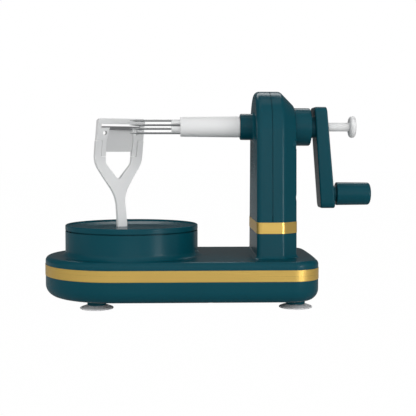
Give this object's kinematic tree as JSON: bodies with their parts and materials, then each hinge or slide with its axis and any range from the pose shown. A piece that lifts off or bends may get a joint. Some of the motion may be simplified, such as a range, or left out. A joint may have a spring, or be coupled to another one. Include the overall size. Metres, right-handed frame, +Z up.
{
  "type": "apple peeler corer",
  "caption": "Hand-cranked apple peeler and corer with a pronged spindle, a geared turntable that carries a fork-shaped peeler arm, and a push-button core ejector.",
  "frame": {"origin": "centre of the rest bounding box, on the surface that the suction cups stand on", "axes": "+Z up, +X from the turntable to the crank, -Y the front"},
  "size_m": [0.282, 0.125, 0.1825],
  "materials": {
    "teal_plastic": "dark teal satin ABS",
    "gold_trim": "gold anodised, brushed",
    "light_plastic": "light grey satin ABS",
    "polished_steel": "ground stainless steel",
    "shaft_steel": "turned steel",
    "spring_steel": "drawn spring wire",
    "screw_steel": "zinc-plated",
    "bushing_brass": "machined brass",
    "gear_plastic": "natural acetal",
    "cup_rubber": "clear soft vinyl"
  },
  "bodies": {
    "housing": {"base_lower_shell": "teal_plastic", "base_upper_shell": "teal_plastic", "base_trim_band": "gold_trim", "base_screws": "screw_steel", "column_left_half": "teal_plastic", "column_right_half": "teal_plastic", "column_trim_band": "gold_trim", "column_screws": "screw_steel", "spindle_front_bushing": "bushing_brass", "spindle_rear_bushing": "bushing_brass", "shaft_bracket": "gear_plastic", "shaft_upper_bushing": "bushing_brass", "shaft_lower_bushing": "bushing_brass", "idler_axle": "shaft_steel", "turntable_pivot": "shaft_steel", "suction_cup_front_left": "cup_rubber", "suction_cup_back_left": "cup_rubber", "suction_cup_front_right": "cup_rubber", "suction_cup_back_right": "cup_rubber"},
    "spindle": {"spindle_tube": "shaft_steel", "spindle_sleeve": "light_plastic", "prong_holder": "light_plastic", "prongs": "polished_steel", "spindle_pinion": "gear_plastic", "crank_arm": "teal_plastic", "crank_circlip": "spring_steel", "grip_pin": "shaft_steel", "ejector_spring": "spring_steel"},
    "hand_grip": {"grip": "teal_plastic", "grip_cap": "teal_plastic"},
    "ejector": {"ejector_rod": "shaft_steel", "ejector_head": "light_plastic", "ejector_button": "light_plastic", "ejector_collar": "spring_steel"},
    "drive": {"drive_shaft": "shaft_steel", "bevel_gear": "gear_plastic", "drive_pinion": "gear_plastic"},
    "idler": {"idler_gear": "gear_plastic"},
    "turntable": {"turntable_dish": "teal_plastic", "turntable_gear": "gear_plastic", "turntable_screws": "screw_steel", "arm_hinge_pin": "shaft_steel", "arm_spring": "spring_steel"},
    "arm": {"peeler_arm": "light_plastic", "blade_frame": "light_plastic", "guard_plate": "light_plastic", "peeler_blade": "polished_steel"}
  },
  "joints": [
    {"name": "crank_spin", "type": "hinge", "parent": "housing", "child": "spindle", "pos_m": [0.05, 0, 0.1522], "axis": [1, 0, 0], "range_deg": [-3330, 990]},
    {"name": "grip_spin", "type": "hinge", "parent": "spindle", "child": "hand_grip", "pos_m": [0.125, 0, 0.0943], "axis": [1, 0, 0], "continuous": true},
    {"name": "ejector_push", "type": "slide", "parent": "spindle", "child": "ejector", "axis": [-1, 0, 0], "range_m": [0, 0.017], "stiffness_N_per_m": 120, "springref_m": -0.02, "deforming": ["ejector_spring"]},
    {"name": "drive_shaft_spin", "type": "hinge", "parent": "housing", "child": "drive", "pos_m": [0.05565, 0, 0.08], "axis": [0, 0, 1], "range_deg": [-570, 1910]},
    {"name": "idler_spin", "type": "hinge", "parent": "housing", "child": "idler", "pos_m": [0.01065, 0, 0.02], "axis": [0, 0, 1], "range_deg": [-385, 115]},
    {"name": "turntable_turn", "type": "hinge", "parent": "housing", "child": "turntable", "pos_m": [-0.0666, 0, 0.04], "axis": [0, 0, 1], "range_deg": [-48, 158]},
    {"name": "arm_tilt", "type": "hinge", "parent": "turntable", "child": "arm", "pos_m": [-0.0769, 0.0255, 0.0565], "axis": [-0.9272, -0.3746, 0], "range_deg": [0, 16], "stiffness_Nm_per_rad": 0.15, "springref_deg": -20.05, "deforming": ["arm_spring"]}
  ],
  "couplings": [
    {"joint": "drive_shaft_spin", "follows": "crank_spin", "ratio": -0.57143},
    {"joint": "idler_spin", "follows": "crank_spin", "ratio": 0.11429},
    {"joint": "turntable_turn", "follows": "crank_spin", "ratio": -0.046967}
  ]
}
